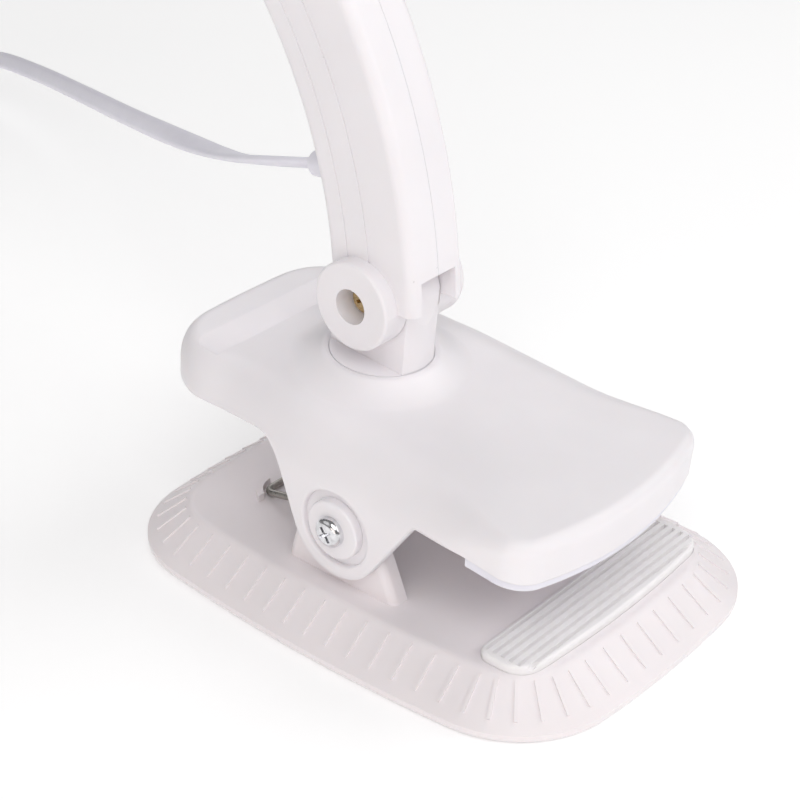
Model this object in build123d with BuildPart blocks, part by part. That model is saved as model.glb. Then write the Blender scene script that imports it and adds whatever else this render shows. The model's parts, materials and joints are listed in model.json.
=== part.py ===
from build123d import *
import os
from math import atan2, cos, degrees, hypot, pi, radians, sin, sqrt, tan

# Clip-on reading lamp, millimetres.
# +X is the gripping end of the clip, +Z is up and the plane Y = 0 halves the lamp.
# The origin is the middle of the underside of the base, on the surface it stands on.

# ---- driving dimensions -------------------------------------------------------------
# base tray
BASE_LENGTH = 150.0
BASE_WIDTH = 109.8
BASE_CORNER = 30.0
LONG_SIDE_RADIUS = 480.0
SHORT_SIDE_RADIUS = 330.0
FOOT_HEIGHT = 0.8
RIM_TOP = 2.8
FLOOR_TOP = 11.8
FLANGE_WIDTH = 12.2
TRAY_WALL = 2.2
RIB_COUNT = 64
RIB_THICKNESS = 0.8
RIB_PROUD = 0.45
PAD_BACK_X = 43.6
PAD_FRONT_X = 58.2
PAD_BOW = 2.2
PAD_HALF_WIDTH = 38.2
PAD_RIBS = 6
NIB_X = -39.0
NIB_Y = 16.0

# underside of the base: cover, ballast, screws and feet
COVER_BOTTOM = 1.4
COVER_THICKNESS = 2.0
COVER_GAP = 2.0
BALLAST_BOTTOM = 3.5
BALLAST_THICKNESS = 3.0
SCREW_SPACING = (84.0, 54.0)
SCREW_SEAT = 2.1
FOOT_SPACING = (112.0, 74.0)
FOOT_RADIUS = 6.0
FOOT_RECESS = 0.5

# hinge between the base and the upper jaw
PIVOT_X = -0.4
PIVOT_Z = 29.6
LUG_INNER = 31.3
LUG_OUTER = 36.3
SKIRT_INNER = 36.6
SKIRT_OUTER = 39.8
CAP_RECESS_DEPTH = 1.7
CAP_RECESS_RADIUS = 10.5
CAP_RADIUS = 8.1
CAP_THICKNESS = 2.5
TUBE_RADIUS = 5.0
TUBE_BORE = 1.7
LOBE_RADIUS = 14.0

# upper jaw
PLATE_SLOPE = 5.0
PLATE_HEIGHT = 51.7
JAW_WALL = 3.2
JAW_ROUNDING = 12.0
HANDLE_RIM_Z = 46.3
HANDLE_END_X = -21.6
THROAT = (24.4, 40.2)
LIP_START = (39.0, 38.6)
LIP_END = (64.0, 33.2)
JAW_PAD_THICKNESS = 2.3
NOSE_X = 62.0
TAIL_X = -71.0
REAR_HALF_WIDTH = 35.4
NOSE_HALF_WIDTH = 37.0
NOSE_SIDE_X = 55.4
NOSE_CORNER = 10.5
TAIL_BOW = 1.8
TAIL_CORNER = 24.0
SKIRT_BACK_X = -14.0
SKIRT_FRONT_X = 22.0
PLAN_BLEND = 90.0
THUMB_GROOVE_X = -56.5
THUMB_GROOVE_LENGTH = 57.0
THUMB_GROOVE_WIDTH = 7.6
THUMB_GROOVE_DEPTH = 2.6

# swivel and the two knuckles
SWIVEL_X = -19.6
SWIVEL_Z = 57.4
DISC_RADIUS = 13.65
COLLAR_HEIGHT = 4.0
COLLAR_CREST = 15.2
COLLAR_FOOT = 23.6
POCKET_DEPTH = 2.5
POST_RADIUS = 5.5
POST_DEPTH = 7.5
KNUCKLE_X = -17.6
KNUCKLE_Z = 75.5
EAR_RADIUS = 11.9
TONGUE_RADIUS = 12.1
FORK_RADIUS = 12.9
TILT_BORE = 2.05
NUT_RADIUS = 4.0
EAR_OUTER = 14.3
FAR_EAR_OUTER = 16.2
TONGUE_HALF = 6.2
FORK_HALF = 6.5

# arm, an arc about a centre behind the clip
ARM_CENTRE_X = -158.0
ARM_CENTRE_Z = 73.5
ARM_RADIUS = 143.3
ARM_DEPTH = 28.0
ARM_WIDTH = 20.0
ARM_CORNER = 3.0
ARM_WALL = 2.0
SEAM_GAP = 0.1
GROOVE_RADII = (143.6, 136.6)
GROOVE_SIZE = 0.5
GROOVE_START = 5.0
GROOVE_STOP = 80.0
ARM_TOP_ANGLE = 84.0
CORD_ANGLE = 14.0
ARM_START_ANGLE = 0.8
HOLLOW_START = 10.5
HOLLOW_STOP = 78.0
LEAD_START = 16.5
LEAD_STOP = 76.0
SCREW_ANGLES = (24.0, 44.0, 64.0)
SCREW_RADIUS = 137.0
TILT_SEAT = 7.9
HEAD_SEAT = 8.0

# head
HEAD_PITCH = 12.0
HEAD_LENGTH = 104.0
HEAD_WIDTH = 44.0
HEAD_HEIGHT = 12.0
HEAD_START = 13.0
HEAD_EAR_RADIUS = 9.5
HEAD_TONGUE_HALF = 4.5
HEAD_FORK_HALF = 4.8
HEAD_CORNER = 17.0
HEAD_SKIN = 1.8
BUTTON_RADIUS = 4.1

# supply cord: its route from the gland, then the put-away coil and the plug beside it
CORD_DIAMETER = 4.2
GLAND_LENGTH = 9.0
FLOOR_LIE = CORD_DIAMETER / 2 + 0.05
CORD_ROUTE = [
    (-60.5, 1.0, 97.4),
    (-84.0, 12.0, 87.8),
    (-117.0, 26.4, 78.2),
    (-163.0, 46.8, 66.4),
    (-214.0, 69.2, 54.6),
    (-265.0, 90.6, 43.2),
    (-317.0, 110.4, 30.8),
    (-357.0, 120.4, 14.6),
    (-386.0, 122.8, 5.4),
    (-410.0, 122.2, FLOOR_LIE + 0.4),
    (-428.0, 122.0, FLOOR_LIE + 0.4),
]
COIL_X = -430.0
COIL_Y = 91.4
COIL_RADIUS = 31.0
COIL_HALF_WIDTH = 5.6
COIL_HEIGHT = 12.4
COIL_BASE = 0.65
TIE_WALL = 0.6
TIE_LENGTH = 10.0
TIE_ANGLE = -40.0
TAIL_START_Y = COIL_Y - 16.0
PLUG_Y = COIL_Y - 50.0
PLUG_X = COIL_X - COIL_RADIUS - 3.5
PLUG_WIDTH = 15.0
PLUG_HEIGHT = 8.2
GRIP_LENGTH = 24.0
RELIEF_LENGTH = 14.0
PLUG_AXIS_Z = PLUG_HEIGHT / 2 + 0.1

# clearance of turning parts
GAP = 0.3

os.makedirs("parts", exist_ok=True)


def save(piece, name):
    """Label one finished sub-part and write its STEP file."""
    piece.label = name
    export_step(piece, f"parts/{name}.step")


# ---- shared geometry ----------------------------------------------------------------
def bowed_rectangle(inset=0.0):
    """Outline of the base: four slightly bowed sides joined by tangent corner arcs."""
    half_length = BASE_LENGTH / 2 - inset
    half_width = BASE_WIDTH / 2 - inset
    long_radius = LONG_SIDE_RADIUS - inset
    short_radius = SHORT_SIDE_RADIUS - inset
    corner = BASE_CORNER - inset
    long_centre = Vector(0, half_width - long_radius)
    short_centre = Vector(half_length - short_radius, 0)
    reach_long = long_radius - corner
    reach_short = short_radius - corner
    between = short_centre - long_centre
    distance = between.length
    along = (reach_long**2 - reach_short**2 + distance**2) / (2 * distance)
    across = sqrt(reach_long**2 - along**2)
    unit = between / distance
    corner_centre = long_centre + unit * along + Vector(unit.Y, -unit.X) * across
    on_long = long_centre + (corner_centre - long_centre) * (long_radius / reach_long)
    on_short = short_centre + (corner_centre - short_centre) * (short_radius / reach_short)
    middle = (on_long + on_short - corner_centre * 2).normalized()
    on_corner = corner_centre + middle * corner
    for flip_x, flip_y in ((1, 1), (1, -1), (-1, -1), (-1, 1)):
        ThreePointArc(
            (on_long.X * flip_x, on_long.Y * flip_y),
            (on_corner.X * flip_x, on_corner.Y * flip_y),
            (on_short.X * flip_x, on_short.Y * flip_y),
        )
    for flip in (1, -1):
        ThreePointArc(
            (-on_long.X, on_long.Y * flip), (0, half_width * flip), (on_long.X, on_long.Y * flip)
        )
        ThreePointArc(
            (on_short.X * flip, -on_short.Y), (half_length * flip, 0), (on_short.X * flip, on_short.Y)
        )


def tangent_point(point, centre, radius, turn):
    """Where a line from a point touches a circle; turn is +1 or -1 for the two sides."""
    dx = point[0] - centre[0]
    dz = point[1] - centre[1]
    distance = hypot(dx, dz)
    angle = atan2(dz, dx) + turn * atan2(sqrt(distance**2 - radius**2), radius)
    return (centre[0] + radius * cos(angle), centre[1] + radius * sin(angle))


def flat_point(x, z):
    """A point of the plane Y = 0."""
    return (x, 0, z)


def rod(start, end, radius):
    """A round bar between two points."""
    direction = Vector(*end) - Vector(*start)
    return Solid.make_cylinder(radius, direction.length, Plane(Vector(*start), z_dir=direction))


def side_plane(y):
    """The plane of constant Y whose own X and Y are the lamp's X and Z."""
    return Plane(origin=(0, y, 0), x_dir=(1, 0, 0), z_dir=(0, -1, 0))


def pan_screw(plane, head_radius, head_height, shank_radius, shank_length, name):
    """A cross-recess pan-head screw. Its head stands on the plane, its shank goes below."""
    with BuildPart() as screw:
        with BuildSketch(plane):
            Circle(head_radius)
        extrude(amount=head_height)
        rim = screw.edges().filter_by(GeomType.CIRCLE).sort_by(
            lambda edge: (edge.center() - plane.origin).dot(plane.z_dir)
        )[-1]
        fillet(rim, head_height * 0.72)
        with BuildSketch(plane):
            Circle(shank_radius)
        extrude(amount=-shank_length)
        with BuildSketch(plane.offset(head_height - 1.3)):
            Rectangle(head_radius * 1.1, 0.9)
            Rectangle(0.9, head_radius * 1.1)
        extrude(amount=3, mode=Mode.SUBTRACT)
    screw.part.label = name
    return screw.part


PLATE = Plane(
    origin=(0, 0, PLATE_HEIGHT),
    x_dir=(cos(radians(PLATE_SLOPE)), 0, -sin(radians(PLATE_SLOPE))),
    z_dir=(sin(radians(PLATE_SLOPE)), 0, cos(radians(PLATE_SLOPE))),
)
SWIVEL = Plane(origin=(SWIVEL_X, 0, SWIVEL_Z), x_dir=PLATE.x_dir, z_dir=PLATE.z_dir)
PIVOT = (PIVOT_X, PIVOT_Z)


# ---- base body ----------------------------------------------------------------------
def outline_face(height, inset=0.0):
    """The base outline as a face at a height."""
    with BuildSketch(Plane.XY.offset(height)) as face:
        with BuildLine():
            bowed_rectangle(inset)
        make_face()
    return face.sketch


def lug(near):
    """One lug of the base; near is +1 for the near side and -1 for the far side."""
    with BuildPart() as part:
        with BuildSketch(side_plane(-near * LUG_INNER)) as side:
            with BuildLine():
                Polyline(
                    (-20.4, FLOOR_TOP - 1.0), (17.0, FLOOR_TOP - 1.0), (5.1, 39.0), (-12.4, 39.0), close=True
                )
            make_face()
            fillet(side.vertices().group_by(Axis.Y)[-1], 6.0)
            with Locations(PIVOT):
                Circle(TUBE_RADIUS + 0.05, mode=Mode.SUBTRACT)
        extrude(amount=near * (LUG_OUTER - LUG_INNER))
        outer = part.faces().sort_by(Axis.Y)[0 if near > 0 else -1]
        upper = outer.edges().filter_by(
            lambda edge: edge.center().Z > FLOOR_TOP + 2 and (edge.center() - Vector(PIVOT_X, 0, PIVOT_Z)).X > 6
        )
        fillet(upper, 2.2)
    return part.part


def rib_places():
    """Where each fine rib of the flange sits, with its length running down the slope."""
    loop = outline_face(0).wire()
    drop = FLOOR_TOP - RIM_TOP
    places = []
    for index in range(RIB_COUNT):
        share = (index + 0.5) / RIB_COUNT
        point = loop @ share
        along = loop % share
        outward = Vector(along.Y, -along.X, 0).normalized()
        if outward.dot(Vector(point.X, point.Y, 0)) < 0:
            outward = outward * -1
        middle = Vector(point.X, point.Y, 0) - outward * FLANGE_WIDTH * 0.55
        origin = Vector(middle.X, middle.Y, RIM_TOP + drop * 0.55)
        slope = Vector(outward.X * FLANGE_WIDTH, outward.Y * FLANGE_WIDTH, -drop)
        up = Vector(outward.X * drop, outward.Y * drop, FLANGE_WIDTH)
        places.append(Plane(origin=origin, x_dir=slope, z_dir=up).location)
    return places


def base_plate():
    hollow_rim = RIM_TOP - TRAY_WALL * 0.3
    lugs = [lug(1), lug(-1)]
    with BuildPart() as base:
        extrude(outline_face(FOOT_HEIGHT), amount=RIM_TOP - FOOT_HEIGHT, dir=(0, 0, 1))
        loft([outline_face(RIM_TOP).face(), outline_face(FLOOR_TOP, FLANGE_WIDTH).face()], ruled=True)
        fillet(base.faces().sort_by(Axis.Z)[-1].edges(), 3.0)
        fillet(base.edges().group_by(Axis.Z)[0], 0.7)
        # hollow underside, its slope parallel to the flange
        extrude(
            outline_face(FOOT_HEIGHT, TRAY_WALL), amount=hollow_rim - FOOT_HEIGHT, dir=(0, 0, 1),
            mode=Mode.SUBTRACT,
        )
        loft(
            [
                outline_face(hollow_rim, TRAY_WALL).face(),
                outline_face(FLOOR_TOP - TRAY_WALL, TRAY_WALL + FLANGE_WIDTH * 0.86).face(),
            ],
            ruled=True, mode=Mode.SUBTRACT,
        )
        # fine raised ribs that fan out over the flange
        with Locations(*rib_places()):
            Box(hypot(FLANGE_WIDTH, FLOOR_TOP - RIM_TOP) * 0.66, RIB_THICKNESS, 2 * RIB_PROUD)
        # two lugs that carry the pivot
        add(lugs)
        # curved nibs that keep the spring's bar from sliding back
        with BuildSketch(Plane.XY.offset(FLOOR_TOP - 0.5)):
            for side in (1, -1):
                with Locations((NIB_X, side * NIB_Y)):
                    Circle(8.9)
                    Circle(6.9, mode=Mode.SUBTRACT)
            with Locations((NIB_X + 3.0, 0)):
                Rectangle(12.0, 60.0, mode=Mode.SUBTRACT)
            with Locations((NIB_X - 5.0, 0)):
                Rectangle(9.0, 2 * NIB_Y, mode=Mode.SUBTRACT)
        extrude(amount=2.6)
        # seat of the grip pad
        extrude(Plane.XY.offset(FLOOR_TOP) * pad_outline(0.0), amount=-0.6, mode=Mode.SUBTRACT)
        # bosses for the screws of the cover
        boss_bottom = BALLAST_BOTTOM + BALLAST_THICKNESS + 0.1
        with BuildSketch(Plane.XY.offset(boss_bottom)):
            with GridLocations(*SCREW_SPACING, 2, 2):
                Circle(3.4)
        extrude(amount=FLOOR_TOP - TRAY_WALL + 0.2 - boss_bottom)
        with BuildSketch(Plane.XY.offset(boss_bottom)):
            with GridLocations(*SCREW_SPACING, 2, 2):
                Circle(1.25)
        extrude(amount=3.6, mode=Mode.SUBTRACT)
    return base.part


def pad_outline(inset):
    """D-shaped outline of the ribbed grip pad, straight behind and bowed in front."""
    with BuildSketch() as pad:
        with BuildLine():
            Polyline(
                (PAD_FRONT_X, PAD_HALF_WIDTH), (PAD_BACK_X, PAD_HALF_WIDTH),
                (PAD_BACK_X, -PAD_HALF_WIDTH), (PAD_FRONT_X, -PAD_HALF_WIDTH),
            )
            ThreePointArc(
                (PAD_FRONT_X, -PAD_HALF_WIDTH), (PAD_FRONT_X + PAD_BOW, 0), (PAD_FRONT_X, PAD_HALF_WIDTH)
            )
        make_face()
        fillet(pad.vertices().group_by(Axis.X)[0], 3.6)
        fillet(pad.vertices().group_by(Axis.X)[-1], 8.0)
        if inset:
            offset(amount=-inset)
    return pad.sketch


def grip_pad():
    with BuildPart() as pad:
        with BuildSketch(Plane.XY.offset(FLOOR_TOP - 0.6)):
            add(pad_outline(0.1))
        extrude(amount=2.7)
        top = pad.faces().sort_by(Axis.Z)[-1]
        fillet(top.edges(), 0.9)
        with BuildSketch(Plane.XZ.offset(2 - PAD_HALF_WIDTH)):
            for index in range(PAD_RIBS):
                with Locations((PAD_BACK_X + 1.8 + 2.45 * index, FLOOR_TOP + 2.1)):
                    SlotOverall(2.6, 1.1, rotation=90)
        extrude(amount=2 * PAD_HALF_WIDTH - 4, mode=Mode.SUBTRACT)
    return pad.part


def bottom_cover():
    """Flat plate that closes the tray, with recesses for the screws and the feet."""
    with BuildPart() as cover:
        with BuildSketch(Plane.XY.offset(COVER_BOTTOM)):
            add(outline_face(0, TRAY_WALL + COVER_GAP))
            with GridLocations(*SCREW_SPACING, 2, 2):
                Circle(1.5, mode=Mode.SUBTRACT)
        extrude(amount=COVER_THICKNESS, dir=(0, 0, 1))
        with BuildSketch(Plane.XY.offset(COVER_BOTTOM)):
            with GridLocations(*SCREW_SPACING, 2, 2):
                Circle(3.2)
        extrude(amount=SCREW_SEAT - COVER_BOTTOM, mode=Mode.SUBTRACT)
        with BuildSketch(Plane.XY.offset(COVER_BOTTOM)):
            with GridLocations(*FOOT_SPACING, 2, 2):
                Circle(FOOT_RADIUS + 0.1)
            Circle(FOOT_RADIUS + 0.1)
        extrude(amount=FOOT_RECESS, mode=Mode.SUBTRACT)
    return cover.part


def ballast_plate():
    with BuildPart() as ballast:
        with BuildSketch(Plane.XY.offset(BALLAST_BOTTOM)):
            RectangleRounded(100, 68, 8)
            with GridLocations(*SCREW_SPACING, 2, 2):
                Circle(1.8, mode=Mode.SUBTRACT)
        extrude(amount=BALLAST_THICKNESS)
    return ballast.part


def cover_screws():
    half_length = SCREW_SPACING[0] / 2
    half_width = SCREW_SPACING[1] / 2
    screws = []
    for x in (-half_length, half_length):
        for y in (-half_width, half_width):
            plane = Plane(origin=(x, y, SCREW_SEAT), x_dir=(1, 0, 0), z_dir=(0, 0, -1))
            screws.append(pan_screw(plane, 2.8, 1.2, 1.2, 7.6, "cover_screw"))
    return Compound(children=screws)


def base_feet():
    """Soft feet at the corners and one in the middle."""
    with BuildPart() as feet:
        with BuildSketch():
            with GridLocations(*FOOT_SPACING, 2, 2):
                Circle(FOOT_RADIUS)
            Circle(FOOT_RADIUS)
        extrude(amount=COVER_BOTTOM + FOOT_RECESS - 0.02)
        fillet(feet.edges().group_by(Axis.Z)[0], 0.4)
    return feet.part


def pivot_tube():
    with BuildPart() as tube:
        with BuildSketch(side_plane(LUG_OUTER - 0.1)):
            with Locations(PIVOT):
                Circle(TUBE_RADIUS)
                Circle(TUBE_BORE, mode=Mode.SUBTRACT)
        extrude(amount=2 * LUG_OUTER - 0.2)
    return tube.part


def pivot_caps():
    """Flanged bushes that close the hinge and hold the jaw's skirts on the lugs."""
    recess_floor = SKIRT_OUTER - CAP_RECESS_DEPTH
    with BuildPart() as caps:
        with BuildSketch(side_plane(-recess_floor - 0.05)):
            with Locations(PIVOT):
                Circle(CAP_RADIUS)
        extrude(amount=CAP_THICKNESS)
        outer = caps.edges().filter_by(GeomType.CIRCLE).sort_by(Axis.Y)[0]
        fillet(outer, 0.6)
        with BuildSketch(side_plane(-LUG_OUTER)):
            with Locations(PIVOT):
                Circle(TUBE_RADIUS)
        extrude(amount=recess_floor - LUG_OUTER + 0.2)
        with BuildSketch(side_plane(-LUG_OUTER)):
            with Locations(PIVOT):
                Circle(TUBE_BORE + 0.3)
        extrude(amount=10, mode=Mode.SUBTRACT)
        mirror(about=Plane.XZ)
    return caps.part


def pivot_screws():
    seat = SKIRT_OUTER - CAP_RECESS_DEPTH + CAP_THICKNESS + 0.05
    near = Plane(origin=(PIVOT_X, -seat, PIVOT_Z), x_dir=(0.82, 0, 0.57), z_dir=(0, -1, 0))
    screw = pan_screw(near, 4.1, 2.5, 1.65, 18, "pivot_screw")
    return Compound(children=[screw, mirror(screw, about=Plane.XZ)])


def torsion_spring():
    """Two coils on the pivot, a wide bar on the floor and two arms under the handle."""
    wire = 1.0
    coil_radius = 6.7
    turns = 3
    steps = 14
    inner = 20.6
    length = 8.4
    bar_x = -43.4
    bar_z = FLOOR_TOP + wire + 0.15
    arm_end = (-34.0, 49.9)
    bar_touch = tangent_point((bar_x, bar_z), PIVOT, coil_radius, 1)
    arm_touch = tangent_point(arm_end, PIVOT, coil_radius, -1)
    first = atan2(bar_touch[1] - PIVOT_Z, bar_touch[0] - PIVOT_X)
    last = atan2(arm_touch[1] - PIVOT_Z, arm_touch[0] - PIVOT_X) + 2 * pi * turns

    def on_coil(share, side):
        angle = first + (last - first) * share
        return (
            PIVOT_X + coil_radius * cos(angle), side * (inner + length * share),
            PIVOT_Z + coil_radius * sin(angle),
        )

    with BuildPart() as spring:
        for side in (1, -1):
            with BuildLine() as path:
                FilletPolyline(
                    (bar_x, 0, bar_z), (bar_x, side * inner, bar_z),
                    (bar_touch[0], side * inner, bar_touch[1]), radius=3.0,
                )
                for step in range(steps):
                    ThreePointArc(
                        on_coil(step / steps, side), on_coil((step + 0.5) / steps, side),
                        on_coil((step + 1) / steps, side),
                    )
                Line(on_coil(1, side), (arm_end[0], side * (inner + length), arm_end[1]))
            line = path.wire()
            with BuildSketch(Plane(origin=(bar_x, 0, bar_z), z_dir=(0, side, 0))):
                Circle(wire)
            sweep(path=line)
    return spring.part


# ---- upper jaw body -----------------------------------------------------------------
def jaw_plan(front_run):
    """Plan of the jaw in the plate's plane; front_run puts a straight end past the nose."""
    with BuildSketch() as plan:
        with BuildLine():
            if front_run:
                Polyline(
                    (TAIL_X + TAIL_BOW, REAR_HALF_WIDTH), (SKIRT_BACK_X, SKIRT_OUTER),
                    (SKIRT_FRONT_X, SKIRT_OUTER), (94, NOSE_HALF_WIDTH - 3.2), (94, -NOSE_HALF_WIDTH + 3.2),
                    (SKIRT_FRONT_X, -SKIRT_OUTER), (SKIRT_BACK_X, -SKIRT_OUTER),
                    (TAIL_X + TAIL_BOW, -REAR_HALF_WIDTH),
                )
            else:
                Polyline(
                    (TAIL_X + TAIL_BOW, REAR_HALF_WIDTH), (SKIRT_BACK_X, SKIRT_OUTER),
                    (SKIRT_FRONT_X, SKIRT_OUTER), (NOSE_SIDE_X, NOSE_HALF_WIDTH),
                )
                ThreePointArc(
                    (NOSE_SIDE_X, NOSE_HALF_WIDTH), (NOSE_X, 0), (NOSE_SIDE_X, -NOSE_HALF_WIDTH)
                )
                Polyline(
                    (NOSE_SIDE_X, -NOSE_HALF_WIDTH), (SKIRT_FRONT_X, -SKIRT_OUTER),
                    (SKIRT_BACK_X, -SKIRT_OUTER), (TAIL_X + TAIL_BOW, -REAR_HALF_WIDTH),
                )
            ThreePointArc(
                (TAIL_X + TAIL_BOW, -REAR_HALF_WIDTH), (TAIL_X, 0), (TAIL_X + TAIL_BOW, REAR_HALF_WIDTH)
            )
        make_face()
        corners = plan.vertices()
        fillet(corners.filter_by(lambda v: v.X < TAIL_X + TAIL_BOW + 1), TAIL_CORNER)
        bends = [v for v in corners if min(abs(v.X - SKIRT_BACK_X), abs(v.X - SKIRT_FRONT_X)) < 0.1]
        fillet(bends, PLAN_BLEND)
        if not front_run:
            fillet(plan.vertices().filter_by(lambda v: abs(v.X - NOSE_SIDE_X) < 0.1), NOSE_CORNER)
    return plan.sketch


def jaw_block(inset, rounding):
    """The jaw's outer body, or with an inset the space inside its walls."""
    with BuildPart() as block:
        with BuildSketch(PLATE.offset(-inset)):
            add(jaw_plan(True))
            if inset:
                offset(amount=-inset)
        extrude(amount=-46)
        top = block.faces().sort_by(lambda face: (face.center() - PLATE.origin).dot(PLATE.z_dir))[-1]
        front = top.edges().sort_by(Axis.X)[-1]
        fillet([edge for edge in top.edges() if edge.center() != front.center()], rounding)
        with BuildSketch(PLATE.offset(5)):
            add(jaw_plan(False))
            if inset:
                offset(amount=-inset)
        extrude(amount=-70, mode=Mode.INTERSECT)
    return block.part


def jaw_side():
    """Side view of the jaw below its top: handle rim, pivot lobe and front lip."""
    handle = (HANDLE_END_X, HANDLE_RIM_Z)
    rear_touch = tangent_point(handle, PIVOT, LOBE_RADIUS, 1)
    front_touch = tangent_point(THROAT, PIVOT, LOBE_RADIUS, -1)
    with BuildSketch(side_plane(60)) as side:
        with BuildLine():
            Polyline(
                front_touch, THROAT, LIP_START, LIP_END, (90, LIP_END[1]), (90, 90),
                (-90, 90), (-90, HANDLE_RIM_Z), handle, rear_touch,
            )
            ThreePointArc(rear_touch, (PIVOT_X, PIVOT_Z - LOBE_RADIUS), front_touch)
        make_face()
        fillet(side.vertices().filter_by(lambda v: abs(v.X - HANDLE_END_X) < 0.1 and v.Z < 50), 12.0)
        fillet(side.vertices().filter_by(lambda v: abs(v.X - THROAT[0]) < 0.1 and v.Z < 50), 1.5)
    return side.sketch


def upper_jaw():
    outside = jaw_block(0, JAW_ROUNDING)
    inside = jaw_block(JAW_WALL, JAW_ROUNDING - JAW_WALL)
    with BuildPart() as jaw:
        add(outside)
        add(inside, mode=Mode.SUBTRACT)
        extrude(jaw_side(), amount=120, mode=Mode.INTERSECT)
        # raised collar with a flared foot, where the swivel turns
        with BuildSketch(Plane(origin=SWIVEL.origin, x_dir=SWIVEL.x_dir, z_dir=(0, -1, 0))):
            with BuildLine():
                Polyline((0, -COLLAR_HEIGHT - 1), (0, 0), (COLLAR_CREST, 0))
                Spline(
                    (COLLAR_CREST, 0), (COLLAR_CREST + 2.2, -1.4), (COLLAR_FOOT, -COLLAR_HEIGHT),
                    tangents=((1, -0.1), (1, 0)),
                )
                Polyline(
                    (COLLAR_FOOT, -COLLAR_HEIGHT), (COLLAR_FOOT, -COLLAR_HEIGHT - 1), (0, -COLLAR_HEIGHT - 1)
                )
            make_face()
        revolve(axis=Axis(SWIVEL.origin, SWIVEL.z_dir))
        with BuildSketch(SWIVEL):
            Circle(DISC_RADIUS + GAP)
        extrude(amount=-POCKET_DEPTH, mode=Mode.SUBTRACT)
        with BuildSketch(SWIVEL):
            Circle(POST_RADIUS + 0.05)
        extrude(amount=-12, mode=Mode.SUBTRACT)
        # thumb groove across the handle, with the wall carried round below it
        with BuildSketch(PLATE.offset(-JAW_WALL + 0.2)):
            with Locations((THUMB_GROOVE_X, 0)):
                SlotOverall(THUMB_GROOVE_LENGTH + 5, THUMB_GROOVE_WIDTH + 4.4, rotation=90)
        extrude(amount=-2.2)
        with BuildSketch(PLATE.offset(0.5)):
            with Locations((THUMB_GROOVE_X, 0)):
                SlotOverall(THUMB_GROOVE_LENGTH, THUMB_GROOVE_WIDTH, rotation=90)
        extrude(amount=-THUMB_GROOVE_DEPTH - 0.5, mode=Mode.SUBTRACT)
        # recesses and bores of the hinge in both skirts
        for side in (1, -1):
            with BuildSketch(side_plane(side * SKIRT_OUTER)):
                with Locations(PIVOT):
                    Circle(CAP_RECESS_RADIUS)
            extrude(amount=side * CAP_RECESS_DEPTH, mode=Mode.SUBTRACT)
        with BuildSketch(side_plane(60)):
            with Locations(PIVOT):
                Circle(TUBE_RADIUS + 0.06)
        extrude(amount=120, mode=Mode.SUBTRACT)
        # three stiffening webs under the plate
        for y in (-16, 0, 16):
            with BuildSketch(side_plane(y + 0.9)):
                with BuildLine():
                    Polyline((26, 47.0), (26, 43.6), (54.5, 42.0), (54.5, 44.5), close=True)
                make_face()
            extrude(amount=1.8)
    return jaw.part


def jaw_pad():
    """Soft pad that closes the underside of the nose."""
    block = jaw_block(0.6, JAW_ROUNDING - 0.6)
    with BuildPart() as pad:
        add(block)
        with BuildSketch(side_plane(60)):
            with BuildLine():
                Polyline(
                    (LIP_START[0] + 0.4, LIP_START[1] - JAW_PAD_THICKNESS - 0.3),
                    (LIP_END[0] - 1.5, LIP_END[1] - JAW_PAD_THICKNESS + 0.8),
                    (LIP_END[0] - 1.5, LIP_END[1] + 0.3), (LIP_START[0] + 0.4, LIP_START[1] - 0.1), close=True,
                )
            make_face()
        extrude(amount=120, mode=Mode.INTERSECT)
    return pad.part


# ---- swivel body --------------------------------------------------------------------
def swivel_base():
    """Turning disc with its post and the thick tongue that the arm's fork holds."""
    with BuildPart() as swivel:
        with BuildSketch(side_plane(TONGUE_HALF)):
            with Locations((KNUCKLE_X, KNUCKLE_Z)):
                Circle(TONGUE_RADIUS)
            with BuildLine():
                Polyline(
                    (SWIVEL_X - 16, SWIVEL_Z - 1.0), (SWIVEL_X + 16, SWIVEL_Z - 1.0),
                    (KNUCKLE_X + TONGUE_RADIUS, KNUCKLE_Z), (KNUCKLE_X - TONGUE_RADIUS, KNUCKLE_Z), close=True,
                )
            make_face()
        extrude(amount=2 * TONGUE_HALF)
        with BuildSketch(SWIVEL.offset(-4)):
            Circle(DISC_RADIUS)
        extrude(amount=50, mode=Mode.INTERSECT)
        with BuildSketch(SWIVEL.offset(-2.2)):
            Circle(DISC_RADIUS)
        extrude(amount=2.2)
        with BuildSketch(SWIVEL.offset(-POST_DEPTH)):
            Circle(POST_RADIUS)
        extrude(amount=POST_DEPTH - 1.5)
        with BuildSketch(SWIVEL.offset(-POST_DEPTH)):
            Circle(1.5)
        extrude(amount=9, mode=Mode.SUBTRACT)
        with BuildSketch(side_plane(30)):
            with Locations((KNUCKLE_X, KNUCKLE_Z)):
                Circle(TILT_BORE + 0.05)
        extrude(amount=60, mode=Mode.SUBTRACT)
    return swivel.part


def swivel_washer():
    with BuildPart() as washer:
        with BuildSketch(SWIVEL.offset(-POST_DEPTH - 0.05)):
            Circle(9.5)
            Circle(1.8, mode=Mode.SUBTRACT)
        extrude(amount=-1.0)
    return washer.part


def swivel_screw():
    seat = SWIVEL.offset(-POST_DEPTH - 1.1)
    plane = Plane(origin=seat.origin, x_dir=seat.x_dir, z_dir=-seat.z_dir)
    return pan_screw(plane, 3.8, 2.2, 1.45, 9.0, "swivel_screw")


# ---- arm body -----------------------------------------------------------------------
def on_arm(angle, radius=ARM_RADIUS):
    """A point of the arm's plane at an angle round its centre."""
    turn = radians(angle)
    return (ARM_CENTRE_X + radius * cos(turn), ARM_CENTRE_Z + radius * sin(turn))


ARM_AXIS = Axis((ARM_CENTRE_X, 0, ARM_CENTRE_Z), (0, -1, 0))
HEAD_HINGE = on_arm(ARM_TOP_ANGLE + 7.5)


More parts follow.
